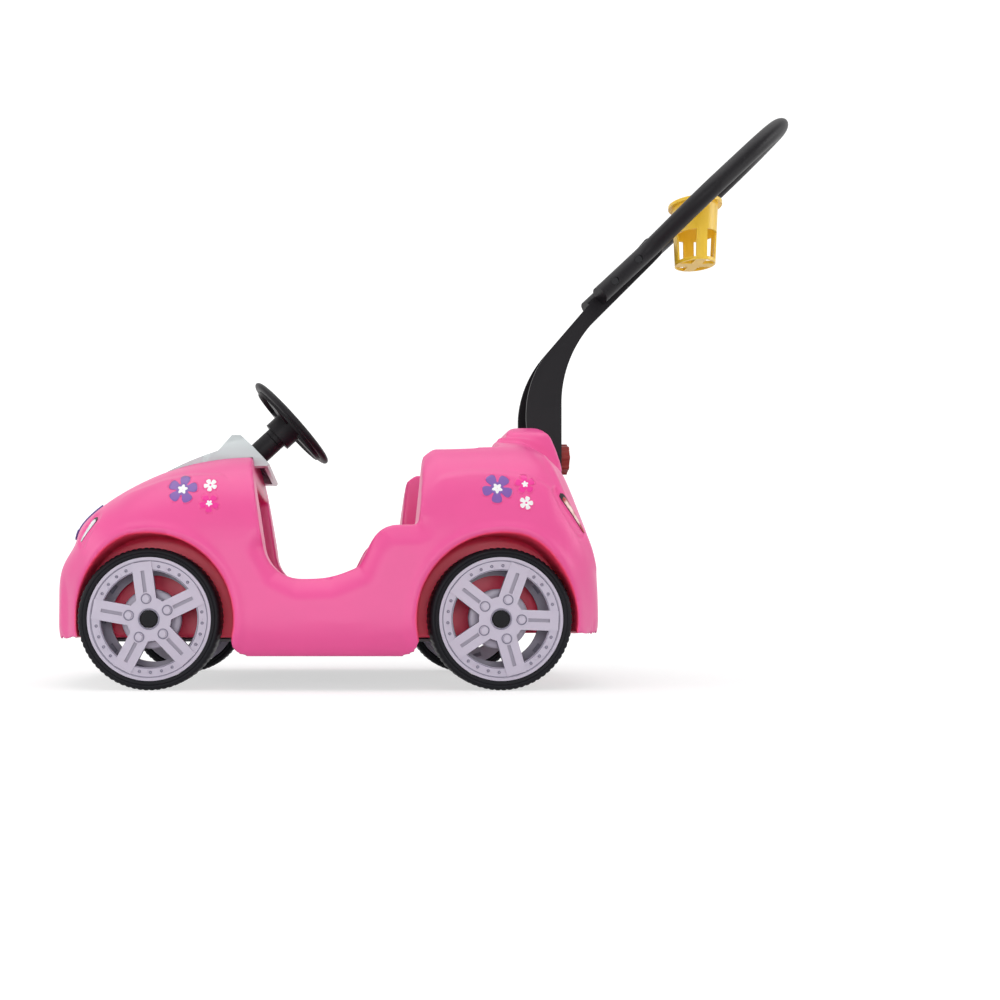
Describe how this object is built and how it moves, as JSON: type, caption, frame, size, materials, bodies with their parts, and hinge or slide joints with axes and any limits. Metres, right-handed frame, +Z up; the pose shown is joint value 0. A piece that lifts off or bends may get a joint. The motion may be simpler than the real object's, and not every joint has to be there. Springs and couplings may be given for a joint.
{
  "type": "push car with handle",
  "caption": "Moulded ride-on toddler car with free-rolling spoked wheels, turning steering wheel, sprung horn button and a folding push handle that carries a swinging cup holder.",
  "frame": {"origin": "floor level under the middle of the overall length and width", "axes": "+Z up, -X towards the nose, +X towards the push handle, -Y the car's left side"},
  "size_m": [1.1296, 0.4802, 0.8776],
  "materials": {
    "pink_body": "moulded satin gloss",
    "pan_grey": "moulded matte",
    "steel": "zinc plated",
    "dash_silver": "silver moulded",
    "black_plastic": "moulded fine grain",
    "horn_grey": "moulded fine grain",
    "bush_white": "natural nylon",
    "cup_yellow": "moulded satin",
    "knob_red": "moulded satin",
    "lamp_clear": "clear printed film",
    "lamp_red": "printed film",
    "grille_violet": "printed film",
    "flower_purple": "printed film",
    "flower_pink": "printed film",
    "flower_white": "printed film",
    "tyre_black": "blow-moulded hard plastic",
    "rim_silver": "silver lilac moulded",
    "rim_dark": "grey moulded"
  },
  "bodies": {
    "car": {"body_shell": "pink_body", "under_pan": "pan_grey", "pan_screws": "steel", "dash_panel": "dash_silver", "column_sleeve": "black_plastic", "grille_plate": "grille_violet", "headlamps": "lamp_clear", "tail_lamps": "lamp_red", "petals_purple": "flower_purple", "petals_pink": "flower_pink", "petals_white": "flower_white", "hearts_white": "flower_white", "hearts_pink": "flower_pink", "front_axle": "steel", "rear_axle": "steel", "axle_washers": "bush_white", "axle_caps": "black_plastic", "pivot_rod": "steel", "lock_nut": "steel"},
    "steering": {"steering_wheel": "black_plastic", "steering_shaft": "steel", "shaft_collar": "steel"},
    "horn": {"horn_button": "horn_grey"},
    "push_handle": {"handle_stem": "black_plastic", "handle_loop": "black_plastic", "handle_bolts": "steel", "handle_nuts": "steel"},
    "lock_slider": {"lock_washer": "steel"},
    "lock_screw": {"lock_knob": "knob_red", "lock_stud": "steel"},
    "cup": {"cup_holder": "cup_yellow"},
    "front_left_wheel": {"front_left_tyre": "tyre_black", "front_left_wheel_face": "rim_silver", "front_left_wheel_back": "rim_dark", "front_left_hub_bush": "bush_white"},
    "front_right_wheel": {"front_right_tyre": "tyre_black", "front_right_wheel_face": "rim_silver", "front_right_wheel_back": "rim_dark", "front_right_hub_bush": "bush_white"},
    "rear_left_wheel": {"rear_left_tyre": "tyre_black", "rear_left_wheel_face": "rim_silver", "rear_left_wheel_back": "rim_dark", "rear_left_hub_bush": "bush_white"},
    "rear_right_wheel": {"rear_right_tyre": "tyre_black", "rear_right_wheel_face": "rim_silver", "rear_right_wheel_back": "rim_dark", "rear_right_hub_bush": "bush_white"}
  },
  "joints": [
    {"name": "front_left_roll", "type": "hinge", "parent": "car", "child": "front_left_wheel", "pos_m": [-0.403, 0, 0.1], "axis": [0, 1, 0], "continuous": true},
    {"name": "front_right_roll", "type": "hinge", "parent": "car", "child": "front_right_wheel", "pos_m": [-0.403, 0, 0.1], "axis": [0, 1, 0], "continuous": true},
    {"name": "rear_left_roll", "type": "hinge", "parent": "car", "child": "rear_left_wheel", "pos_m": [0.089, 0, 0.1], "axis": [0, 1, 0], "continuous": true},
    {"name": "rear_right_roll", "type": "hinge", "parent": "car", "child": "rear_right_wheel", "pos_m": [0.089, 0, 0.1], "axis": [0, 1, 0], "continuous": true},
    {"name": "steering_turn", "type": "hinge", "parent": "car", "child": "steering", "pos_m": [-0.268, 0, 0.3595], "axis": [0.7373, 0, 0.6756], "continuous": true},
    {"name": "horn_press", "type": "slide", "parent": "steering", "child": "horn", "axis": [-0.7373, 0, -0.6756], "range_m": [0, 0.0025], "stiffness_N_per_m": 600, "springref_m": -0.002},
    {"name": "handle_fold", "type": "hinge", "parent": "car", "child": "push_handle", "pos_m": [0.242, 0, 0.166], "axis": [0, 1, 0], "range_deg": [0, 231]},
    {"name": "lock_slide", "type": "slide", "parent": "push_handle", "child": "lock_slider", "axis": [1, 0, 0], "range_m": [0, 0.006]},
    {"name": "lock_turn", "type": "hinge", "parent": "lock_slider", "child": "lock_screw", "pos_m": [0.2, 0, 0.3535], "axis": [1, 0, 0], "range_deg": [0, 1081]},
    {"name": "cup_swing", "type": "hinge", "parent": "push_handle", "child": "cup", "pos_m": [0.43761, 0, 0.7583], "axis": [0, -1, 0], "range_deg": [-15, 280]}
  ],
  "couplings": [
    {"joint": "lock_turn", "follows": "lock_slide", "rad_per_m": 3141.6}
  ]
}
